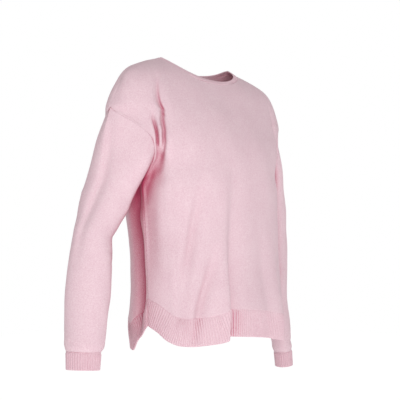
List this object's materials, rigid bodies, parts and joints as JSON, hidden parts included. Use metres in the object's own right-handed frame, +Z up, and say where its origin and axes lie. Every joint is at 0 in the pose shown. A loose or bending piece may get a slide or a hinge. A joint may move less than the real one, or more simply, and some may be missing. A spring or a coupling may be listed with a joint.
{
  "type": "cashmere sweater",
  "caption": "Fine-knit pullover in worn form: round neck, dropped shoulders, long slim sleeves, ribbed cuffs, curved ribbed hem with side vents and a longer back",
  "frame": {"origin": "midway between the two high points of the shoulders, where the wearer's shoulders hold the sweater", "axes": "+X to the wearer's left, -Y to the front, +Z up"},
  "size_m": [0.7019, 0.3039, 0.7261],
  "materials": {
    "cashmere_knit": "pale rose brushed cashmere, fine stocking stitch",
    "cashmere_rib": "pale rose cashmere in fine 1 x 1 rib"
  },
  "bodies": {
    "root": {"front": "cashmere_knit", "back": "cashmere_knit", "sleeve_right": "cashmere_knit", "sleeve_left": "cashmere_knit", "neckband": "cashmere_rib", "hem_rib_front": "cashmere_rib", "hem_rib_back": "cashmere_rib", "cuff_right": "cashmere_rib", "cuff_left": "cashmere_rib"}
  },
  "joints": []
}
